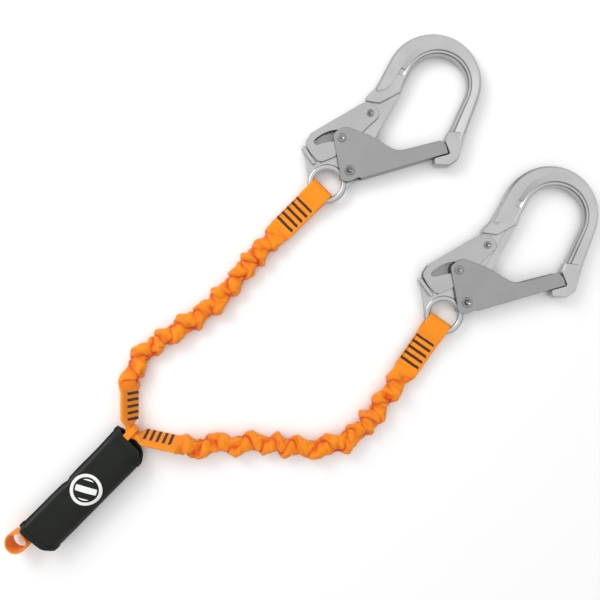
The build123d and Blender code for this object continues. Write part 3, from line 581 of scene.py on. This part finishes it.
def eye_loop_line():
    """One ply of the strap, from its end over the eye and back, seen from the side."""
    middle = EYE_CLEAR + PLY / 2
    fold_x = LOOP_OUTSIDE_X + middle + PLY / 2
    upper = [(STRAP_END_X, PLY / 2), (52.0, PLY / 2), (JOIN_X + 3, PLY / 2), (29.0, 3.6),
             (24.0, middle - 0.1), (fold_x + 4, middle)]
    fold = [(fold_x - middle * math.sin(math.radians(turn)), middle * math.cos(math.radians(turn)))
            for turn in (10, 50, 90, 130, 170)]
    lower = [(x, -z) for x, z in reversed(upper)]
    return [Vector((x, 0, z)) for x, z in upper + fold + lower]


for side in EYES:
    to_bench = placed(EYES[side], STRAP_ANGLES[side], HOOK_Z / MM)
    line = [to_bench @ point for point in smooth_line(eye_loop_line(), spacing=1.2)]
    side_way = (to_bench.to_3x3() @ Vector((0, 1, 0))).normalized()
    strap = band(f"leg_{side}_eye_strap", line, STRAP_W, PLY, side_way)
    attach(strap, "root")
    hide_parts(f"leg_{side}_hook_loop")
    print(strap.name, len(strap.data.polygons), "faces")

# %% [markdown]
# ## Fork strap
# The two legs end in one strap that turns in the absorber's loop. It stands on its edge and leans,
# with its high edge on the outside of the turn. In the loop it is folded lengthwise, so it is half
# as wide there and twice as thick, and it has pleats that fade out along each side.

# %% Fork strap
FLAT_SIZE = Vector((STRAP_W, 2 * PLY))    # width and thickness
FOLDED_SIZE = Vector((14.0, 7.2))
FOLD_HALF = 5.0               # half the stretch that is fully folded
FOLD_REACH = 13.0             # the fold opens over this length on each side
PLEATS = 2.5
PLEAT_DEPTH = 0.55
STRAP_WAVE = 0.35


def fork_strap():
    """The strap between the two legs, folded lengthwise at its turn."""
    to_a = (FORK_A_TOP - FORK_CORNER).normalized()
    to_b = (FORK_B_END - FORK_CORNER).normalized()
    corners = [FORK_A_TOP, FORK_CORNER + to_a * 24, FORK_CORNER + to_a * 9.5, FORK_CORNER,
               FORK_CORNER + to_b * 9.5, FORK_CORNER + to_b * 24, FORK_B_END]
    line = smooth_line([Vector((*point, FORK_Z)) for point in corners], spacing=1.0)
    ways = directions(line)
    marks = running_marks(line)
    run_a = (FORK_A_TOP - FORK_CORNER).length
    run_b = (FORK_B_END - FORK_CORNER).length
    middle = marks[-1] * run_a / (run_a + run_b)
    rings = []
    for index, centre in enumerate(line):
        away = abs(marks[index] - middle)
        flat = eased((away - FOLD_HALF) / FOLD_REACH)
        width, thickness = FOLDED_SIZE.lerp(FLAT_SIZE, flat)
        lean = math.radians(FORK_LEAN * flat + 90.0 * (1 - flat))
        wide = UP * math.sin(lean) - left_of(ways[index]) * math.cos(lean)
        thick = ways[index].cross(wide).normalized()
        ring = []
        for u, w in strap_section(width, thickness, across=20):
            pleat = math.cos(u / width * 2 * math.pi * PLEATS) * PLEAT_DEPTH * (1 - flat)
            pleat += drifting(marks[index] / 7, u / 5, 2.0) * STRAP_WAVE
            ring.append(centre + wide * u + thick * (w + math.copysign(pleat, w)))
        rings.append(ring)
    strap = ring_skin("fork_webbing", rings, (running_marks(rings[0], closed=True), marks))
    strap.data.materials.append(flat_webbing)
    return strap


fork = fork_strap()
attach(fork, "root")
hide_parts("fork_strap")
print(fork.name, len(fork.data.polygons), "faces")

# %% [markdown]
# ## Bar tacks
# A bar tack is a short satin stitch: about two dozen threads side by side across the strap, each
# nearly as long as the bar is wide. One thread is modelled from a cylinder with its two ends drawn
# in, and copies of it, each turned a little differently, make the bars.

# %% One thread
THREAD_W = 1.05
BAR_W = 2.8
BAR_COUNT = 5
THREAD_PITCH = THREAD_W * 0.86
SEATED = 0.12                 # how far a thread's middle is above the cloth

bpy.ops.object.select_all(action="DESELECT")
bpy.ops.mesh.primitive_cylinder_add(vertices=8, radius=THREAD_W / 2, depth=BAR_W,
                                    rotation=(0, math.pi / 2, 0))
thread = bpy.context.active_object
bpy.ops.object.transform_apply(location=False, rotation=True, scale=False)
bpy.ops.object.mode_set(mode="EDIT")
bpy.ops.mesh.select_all(action="DESELECT")
bpy.ops.mesh.select_mode(type="FACE")
bpy.ops.object.mode_set(mode="OBJECT")
for face in thread.data.polygons:
    face.select = abs(face.normal.x) > 0.9
bpy.ops.object.mode_set(mode="EDIT")
bpy.ops.mesh.extrude_region_move(TRANSFORM_OT_translate={"value": (0, 0, 0)})
bpy.ops.transform.resize(value=(1.18, 0.55, 0.35))
bpy.ops.object.mode_set(mode="OBJECT")
thread_points = [vertex.co.copy() for vertex in thread.data.vertices]
thread_faces = [tuple(face.vertices) for face in thread.data.polygons]
bpy.data.objects.remove(thread)
print("one thread has", len(thread_faces), "faces")

# %% Thread material
dark_thread, tree, shader = start_material("dark bonded thread", {"Roughness": 0.55, "Sheen Weight": 0.2})
place = add_node(tree, "ShaderNodeTexCoord").outputs["Object"]
fleck = add_node(tree, "ShaderNodeTexNoise", {}, {"Vector": place, "Scale": 1 / (1.2 * MM), "Detail": 2.0})
tree.links.new(two_colours(tree, fleck.outputs["Fac"], "#160A06", "#4A2210"), shader.inputs["Base Color"])
twist = add_node(tree, "ShaderNodeBump", {}, {"Height": fleck.outputs["Fac"], "Strength": 0.5,
                                              "Distance": 0.1 * MM})
tree.links.new(twist.outputs[0], shader.inputs["Normal"])


# %% Bars of thread
def thread_piece(name, places):
    """One mesh of many threads, each at its own place."""
    vertices = []
    faces = []
    for matrix in places:
        start = len(vertices)
        vertices += [tuple((matrix @ point) * MM) for point in thread_points]
        faces += [tuple(start + corner for corner in face) for face in thread_faces]
    mesh = bpy.data.meshes.new(name)
    mesh.from_pydata(vertices, [], faces)
    piece = bpy.data.objects.new(name, mesh)
    bpy.context.scene.collection.objects.link(piece)
    mesh.materials.append(dark_thread)
    for face in mesh.polygons:
        face.use_smooth = True
    return piece


def tack_places(to_bench, first_x, pitch, bar, off_middle, salt, under=SEATED):
    """Places of every thread in the bars on both faces of a strap."""
    count = round(bar / THREAD_PITCH)
    places = []
    for side_up in (1, -1):
        for row in range(BAR_COUNT):
            for step in range(count):
                across = (step / (count - 1) - 0.5) * bar - off_middle
                lift = SEATED if side_up == 1 else under
                jitter = drifting(step * 1.7, row * 3.1, salt + side_up)
                x = first_x + row * pitch + jitter * 0.5
                slant = math.radians(14 * side_up + jitter * 12)
                places.append(to_bench @ Matrix.Translation((x, across, side_up * (PLY + lift)))
                              @ Matrix.Rotation(slant, 4, "Z"))
    return places


def connecting_places(to_bench, first_x, pitch, edge_y):
    """The thread that runs from one bar to the next along one end of the bars."""
    places = []
    for row in range(BAR_COUNT - 1):
        for step in range(2):
            x = first_x + (row + (step + 1) / 3) * pitch
            places.append(to_bench @ Matrix.Translation((x, edge_y, PLY + 0.05))
                          @ Matrix.Scale(0.55, 4, (0, 1, 0)))
    return places


EYE_ROWS = (35.8, 7.8)        # where the first bar is, and from one bar to the next
EYE_BAR = 23.5
EYE_BAR_SIDE = 1.5
EYE_LINK_Y = -12.6
for side in EYES:
    to_bench = placed(EYES[side], STRAP_ANGLES[side], HOOK_Z / MM)
    places = tack_places(to_bench, *EYE_ROWS, EYE_BAR, EYE_BAR_SIDE, salt=5.0)
    places += connecting_places(to_bench, *EYE_ROWS, EYE_LINK_Y)
    tacks = thread_piece(f"leg_{side}_eye_tacks", places)
    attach(tacks, "root")
    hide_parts(f"leg_{side}_hook_stitching")

FORK_BAR_PITCH = 7.3
FORK_BAR = 17.0
FORK_BAR_SIDE = 3.0           # how far the bars sit from the middle, away from the high edge
FORK_SUNK = -0.9              # the threads under the strap are pulled into the cloth
for side, end, high_edge, first in (("a", FORK_A_TOP, 1, 3.2), ("b", FORK_B_END, -1, 8.4)):
    towards = FORK_CORNER - end
    angle = math.degrees(math.atan2(towards.y, towards.x))
    to_bench = placed(end, angle, FORK_Z) @ Matrix.Rotation(math.radians(-high_edge * FORK_LEAN), 4, "X")
    places = tack_places(to_bench, first, FORK_BAR_PITCH, FORK_BAR, -high_edge * FORK_BAR_SIDE,
                         salt=9.0, under=FORK_SUNK)
    tacks = thread_piece(f"fork_tacks_{side}", places)
    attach(tacks, "root")
    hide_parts(f"fork_stitching_{side}")
print("tacks sewn")

# %% [markdown]
# ## Absorber's loop and harness loop
# Both are bands of the same webbing. The absorber's loop lies flat, goes over and under the fork
# strap's fold, and its two plies run back into the cover. The harness loop stands on its edge, and
# its two ends run to the end of the tear webbing.

# %% Absorber's loop
LOOP_W = 8.2
LOOP_NOSE = 8.8
LOOP_HALF = 10.6
FORK_BEND_R = 9.0
PLIES_END = 60.0              # from the cover's middle to where the loop's two plies end
SEAM = 1.3                    # half the space between the middles of two plies sewn together


def fork_apex():
    """The middle of the fork strap's bend."""
    to_a = (FORK_A_TOP - FORK_CORNER).normalized()
    to_b = (FORK_B_END - FORK_CORNER).normalized()
    half_turn = (math.pi - to_a.angle(to_b)) / 2
    return FORK_CORNER + (to_a + to_b).normalized() * (FORK_BEND_R * (1 / math.cos(half_turn) - 1))


apex = fork_apex()
loop_tail = ((apex - COVER_C) @ Vector((math.cos(math.radians(COVER_ANGLE)),
                                        math.sin(math.radians(COVER_ANGLE))))) - PLIES_END
upper = [(-loop_tail, SEAM), (-30.0, SEAM), (-19.0, 1.6), (-12.0, 6.0), (-6.5, LOOP_HALF - 1.1),
         (2.0, LOOP_HALF - 1.0), (LOOP_NOSE - 2.0, LOOP_HALF - 2.6), (LOOP_NOSE - 1.0, 4.0)]
lower = [(x, -z) for x, z in reversed(upper)]
to_bench = placed(apex, COVER_ANGLE, FORK_Z)
side_view = smooth_line([Vector((x, 0, z)) for x, z in upper + lower], spacing=1.0)
line = [to_bench @ point for point in side_view]
side_way = (to_bench.to_3x3() @ Vector((0, 1, 0))).normalized()
loop = band("absorber_fork_loop", line, LOOP_W, PLY, side_way)
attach(loop, "root")
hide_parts("absorber_loop")

# %% Harness loop
HARNESS_R = 10.6
HARNESS_TAIL = 12.5
HARNESS_SEWN = (-58.65, 12.5)           # where its ends meet the tear webbing, in the cover's frame
HARNESS_H = 22.0
MIDDLE_R = HARNESS_R + PLY / 2

to_bench = placed(HARNESS_C, HARNESS_ANGLE, COVER_T / 2)
arc = [(MIDDLE_R * math.cos(math.radians(turn)), MIDDLE_R * math.sin(math.radians(turn)))
       for turn in range(60, 301, 20)]
sewn = to_bench.inverted() @ placed(COVER_C, COVER_ANGLE, COVER_T / 2) @ Vector((*HARNESS_SEWN, 0.0))
corners = [(sewn.x, sewn.y + SEAM), (HARNESS_TAIL, SEAM), (11.0, 1.8), (9.0, 5.2), *arc,
           (9.0, -5.2), (11.0, -1.8), (HARNESS_TAIL, -SEAM), (sewn.x, sewn.y - SEAM)]
top_view = smooth_line([Vector((x, y, 0)) for x, y in corners], spacing=1.0)
line = [to_bench @ point for point in top_view]
harness = band("harness_band", line, HARNESS_H, PLY, UP, wave=0.5)
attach(harness, "root")
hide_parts("harness_loop")
print("loops made, absorber loop tail", round(loop_tail, 1), "mm")

# %% [markdown]
# ## Absorber cover
# The cover is one padded sheet wrapped round the folded tear webbing: its fold is the full, rounded
# side, and on the other side its two edges are pressed together by hook and loop tape into a thin
# flange. Both ends are open, and bound with tape. So it is a skin of rings along its length, each
# ring a soft drop shape, and it is given a wall inwards.

# %% Cover shape
LEFT_EDGE = 23.0
RIGHT_EDGE = -25.0
AROUND_COVER = 72
LENGTHWISE = 90
COVER_WALL = 2.0
FLANGE_FROM = 15.4            # the cover closes on the tapes over this run, beside the folded pack
FLANGE_RUN = 6.6
FULL_HALF = 15.6              # half its height where it is fullest
FLANGE_HALF = 2.1
HARNESS_END_X = -77.0
FORK_END_X = 80.4
END_RUN = 0.12                # its ends are drawn in over this share of its length
HARNESS_END_IN = 0.10
FORK_END_IN = 0.38
NOTCH_X = -3.0                # where the flange has a small notch


def drop_half_height(y):
    """Half the cover's height at a place across it: round on the right, a thin flange on the left."""
    if y <= 0:
        return FULL_HALF * max(0.0, 1 - (y / RIGHT_EDGE) ** 2.6) ** (1 / 2.2)
    flange = eased((y - FLANGE_FROM) / FLANGE_RUN)
    return FULL_HALF * (1 - 0.05 * y / LEFT_EDGE) * (1 - flange) + FLANGE_HALF * flange


def end_x(y, far):
    """Where the cover's two ends are, at a place across it."""
    if not far:
        return HARNESS_END_X + (LEFT_EDGE - y) * 0.115 + 3.5 * eased((-12 - y) / 12)
    return FORK_END_X - (LEFT_EDGE - y) * 0.05 - 9.5 * max(0.0, (-11.0 - y) / 14.0) ** 2.0


def cover_ring():
    """Points round the drop, closed at the flange's edge."""
    half = AROUND_COVER // 2
    top = []
    for step in range(half + 1):
        share = step / half
        y = RIGHT_EDGE + (LEFT_EDGE - RIGHT_EDGE) * (1 - math.cos(math.pi * share)) / 2
        top.append((y, drop_half_height(y)))
    return top + [(y, -z) for y, z in reversed(top[1:-1])]


def cover_point(y, z, share):
    """A point of the cover in its own frame, with its soft dents and bulges."""
    x = end_x(y, False) * (1 - share) + end_x(y, True) * share
    mid = math.sin(math.pi * share)
    edge = max(0.0, y / LEFT_EDGE) ** 3
    notch = math.exp(-((x - NOTCH_X) / 4.0) ** 2) * 1.6 + 0.9 * mid
    sway = drifting(x / 34, y / 30, z / 16)
    fine = drifting(x / 11, y / 12, z / 9 + 7)
    squeeze = 1 - HARNESS_END_IN * (1 - eased(share / END_RUN))
    squeeze -= FORK_END_IN * (1 - eased((1 - share) / END_RUN))
    swell = math.copysign(sway * 0.8 + fine * 0.35, z)
    return Vector((x, y - edge * notch + sway * 0.6, z * squeeze + swell))


cover_frame = placed(COVER_C, COVER_ANGLE, COVER_T / 2)
ring_shape = cover_ring()
rings = [[cover_frame @ cover_point(y, z, step / LENGTHWISE) for y, z in ring_shape]
         for step in range(LENGTHWISE + 1)]
cover = ring_skin("absorber_padded_cover", rings,
                  (running_marks([Vector((y, z, 0)) for y, z in ring_shape], closed=True),
                   running_marks([ring[0] for ring in rings])))

# %% Open its ends and give it a wall
bpy.ops.object.mode_set(mode="EDIT")
bpy.ops.mesh.select_all(action="DESELECT")
bpy.ops.object.mode_set(mode="OBJECT")
for face in cover.data.polygons:
    face.select = len(face.vertices) > 4
bpy.ops.object.mode_set(mode="EDIT")
bpy.ops.mesh.delete(type="FACE")
bpy.ops.object.mode_set(mode="OBJECT")
wall = cover.modifiers.new("wall", "SOLIDIFY")
wall.thickness = COVER_WALL * MM
wall.offset = -1.0
bpy.ops.object.modifier_apply(modifier=wall.name)
print(cover.name, len(cover.data.polygons), "faces")

# %% [markdown]
# ## Coated nylon and its print
# The cover's outside is black nylon, coated so that it is smooth and nearly matt, with a yarn of
# 0.7 mm. On its top is a plain round badge, printed in off-white: a ring with slanted bars in
# it. The print is a part of the cloth's colour, so it is drawn by distance from its centre.

# %% Black nylon
BADGE_R = 18.0
BADGE_RING = 3.6
BADGE_BAR = 7.0
BADGE_CORE = BADGE_R - 1.6 * BADGE_RING
BADGE_PLACE = (-240.5 * MM, -219.0 * MM, COVER_T / 2 * MM)
BADGE_TURN = 28.0


def black_nylon(name, badge_centre=None):
    """Coated black nylon, with a round badge if it has a centre."""
    material, tree, shader = start_material(name, {"Roughness": 0.68, "Sheen Weight": 0.05,
                                                   "Specular IOR Level": 0.25})
    place = add_node(tree, "ShaderNodeTexCoord").outputs["Object"]
    strap = add_node(tree, "ShaderNodeUVMap", {"uv_map": "strap"}).outputs[0]
    height = woven_height(tree, strap, 0.7)
    cloud = add_node(tree, "ShaderNodeTexNoise", {},
                     {"Vector": place, "Scale": 1 / (14 * MM), "Detail": 5.0}).outputs["Fac"]
    # painted shade: the weave's low places are darker, as shade between the yarns, with a slow random
    # change of tone from the cloud
    mixed = maths(tree, "MULTIPLY_ADD", height, 0.3, cloud, clamp=True)
    colour = two_colours(tree, mixed, "#090C09", "#171B16")
    if badge_centre:
        turned = add_node(tree, "ShaderNodeMapping", {"vector_type": "TEXTURE"},
                          {"Vector": place, "Location": badge_centre,
                           "Rotation": (0, 0, math.radians(COVER_ANGLE + BADGE_TURN))})
        axes = add_node(tree, "ShaderNodeSeparateXYZ", {}, {0: turned.outputs[0]}).outputs
        flat = add_node(tree, "ShaderNodeCombineXYZ", {}, {0: axes["X"], 1: axes["Y"]}).outputs[0]
        away = add_node(tree, "ShaderNodeVectorMath", {"operation": "LENGTH"}, {0: flat}).outputs["Value"]
        disc = maths(tree, "LESS_THAN", away, BADGE_R * MM)
        inner = maths(tree, "LESS_THAN", away, (BADGE_R - BADGE_RING) * MM)
        ring = maths(tree, "SUBTRACT", disc, inner)
        stripe = maths(tree, "PINGPONG", axes["X"], BADGE_BAR * MM)
        bars = maths(tree, "LESS_THAN", stripe, BADGE_BAR * MM / 2)
        core = maths(tree, "LESS_THAN", away, BADGE_CORE * MM)
        mark = maths(tree, "MAXIMUM", ring, maths(tree, "MULTIPLY", bars, core))
        printed = maths(tree, "MULTIPLY", mark, maths(tree, "GREATER_THAN", axes["Z"], 0.0))
        colour = add_node(tree, "ShaderNodeMix", {"data_type": "RGBA"},
                          {0: printed, 6: colour, 7: linear("#E9EBE6")}).outputs[2]
    tree.links.new(colour, shader.inputs["Base Color"])
    bump = add_node(tree, "ShaderNodeBump", {}, {"Height": mixed, "Strength": 0.4,
                                                 "Distance": 0.25 * MM})
    tree.links.new(bump.outputs[0], shader.inputs["Normal"])
    return material


cover_nylon = black_nylon("coated black nylon", BADGE_PLACE)
binding_tape = black_nylon("black binding tape")
cover.data.materials.clear()
cover.data.materials.append(cover_nylon)
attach(cover, "root")
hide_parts("absorber_cover")


# %% Bindings on both ends
BINDING_T = 0.7
BINDING_INSIDE = 0.6
BINDING_PUFF = 0.25
BINDING_STEPS = 8


def binding(name, share_from, share_to):
    """A tape folded round one open end of the cover, a little proud of it."""
    rings = []
    for outward in (BINDING_T, -COVER_WALL - BINDING_INSIDE):
        for step in range(BINDING_STEPS + 1):
            portion = step / BINDING_STEPS
            share = share_from + (share_to - share_from) * (portion if outward > 0 else 1 - portion)
            puff = math.sin(math.pi * min(1.0, portion * 1.2)) * BINDING_PUFF if outward > 0 else 0
            ring = []
            for index, (y, z) in enumerate(ring_shape):
                y_before, z_before = ring_shape[index - 1]
                y_after, z_after = ring_shape[(index + 1) % len(ring_shape)]
                normal = Vector((0, z_before - z_after, y_after - y_before)).normalized()
                if normal.dot(Vector((0, y, z))) < 0:
                    normal = -normal
                ring.append(cover_frame @ (cover_point(y, z, share) + normal * (outward + puff)))
            rings.append(ring)
    marks = (running_marks([Vector((y, z, 0)) for y, z in ring_shape], closed=True),
             running_marks([ring[0] for ring in rings]) + [0.0])
    tape = ring_skin(name, rings, marks, closed=True)
    tape.data.materials.append(binding_tape)
    return tape


for name, share_from, share_to in (("harness_end_binding", 0.035, -0.004),
                                   ("fork_end_binding", 0.965, 1.004)):
    tape = binding(name, share_from, share_to)
    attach(tape, "root")
    print(tape.name, len(tape.data.polygons), "faces")

# %% [markdown]
# ## What the cover hides
# The tear webbing, its stitching, the two closing tapes and the label are hidden, but they are real
# pieces, so each has the finish of what it is.

# %% Hidden pieces
def plain_cloth(name, low, high, thread_mm):
    """A fine cloth read from object coordinates, for pieces with no strap of their own."""
    material, tree, shader = start_material(name, {"Roughness": 0.8})
    place = add_node(tree, "ShaderNodeTexCoord").outputs["Object"]
    height = woven_height(tree, place, thread_mm)
    # painted shade: the weave's low places take the low colour, as shade between the threads
    tree.links.new(two_colours(tree, height, low, high), shader.inputs["Base Color"])
    bump = add_node(tree, "ShaderNodeBump", {}, {"Height": height, "Strength": 0.5, "Distance": 0.15 * MM})
    tree.links.new(bump.outputs[0], shader.inputs["Normal"])
    return material


tear_cloth = plain_cloth("undyed tear webbing", "#B9B29C", "#DAD4C2", 1.2)
tape_cloth = plain_cloth("black hook and loop tape", "#0D0D0D", "#262626", 0.8)
label_cloth = plain_cloth("white label cloth", "#D9D9D6", "#F2F2EF", 0.4)
for node, material in (("tear_webbing", tear_cloth), ("tear_stitching", dark_thread),
                       ("closure_hook_tape", tape_cloth), ("closure_loop_tape", tape_cloth),
                       ("marking_label", label_cloth)):
    finish_node(node, material)

# %% [markdown]
# ## Bench and light
# A pale matt bench in a light tent: the sky is an even white dome that falls off towards the
# horizon. Flat metal mirrors the dome's bright top and reads pale, and its turned edges mirror the
# dim horizon and read dark, which draws the hooks' outlines. One weak lamp from the upper left adds
# a little direction.

# %% Bench and light
BENCH_SIZE = 14.0
BENCH_GAP = 0.6 * MM          # just under the lanyard, so that the two never share a face

bpy.ops.object.select_all(action="DESELECT")
bpy.ops.mesh.primitive_plane_add(size=BENCH_SIZE, location=(0, 0, -BENCH_GAP))
bench = bpy.context.active_object
bench.name = "bench"
bench_paint, tree, shader = start_material("pale matt paint", {"Roughness": 0.9, "Specular IOR Level": 0.1})
shader.inputs["Base Color"].default_value = linear("#F6F6F6")
bench.data.materials.append(bench_paint)

lamp_data = bpy.data.lights.new("left_softbox", "AREA")
lamp_data.shape = "SQUARE"
lamp_data.size = 0.8
lamp_data.energy = 11.0
lamp = bpy.data.objects.new("left_softbox", lamp_data)
lamp.location = (-0.9, 0.9, 1.0)
lamp.rotation_euler = (-lamp.location).to_track_quat("-Z", "Y").to_euler()
bpy.context.scene.collection.objects.link(lamp)

DOME_TOP = 1.22
DOME_HORIZON = 0.14
world = bpy.data.worlds.new("light tent")
world.use_nodes = True
tree = world.node_tree
sky = add_node(tree, "ShaderNodeTexCoord").outputs["Generated"]
height = add_node(tree, "ShaderNodeSeparateXYZ", {}, {0: sky}).outputs["Z"]
strength = add_node(tree, "ShaderNodeMapRange", {"interpolation_type": "SMOOTHSTEP"},
                    {"Value": height, "From Min": 0.12, "From Max": 0.88,
                     "To Min": DOME_HORIZON, "To Max": DOME_TOP})
tree.links.new(strength.outputs[0], tree.nodes["Background"].inputs["Strength"])
tree.nodes["Background"].inputs["Color"].default_value = linear("#FFFFFF")
bpy.context.scene.world = world
bpy.context.scene.view_settings.view_transform = "Standard"
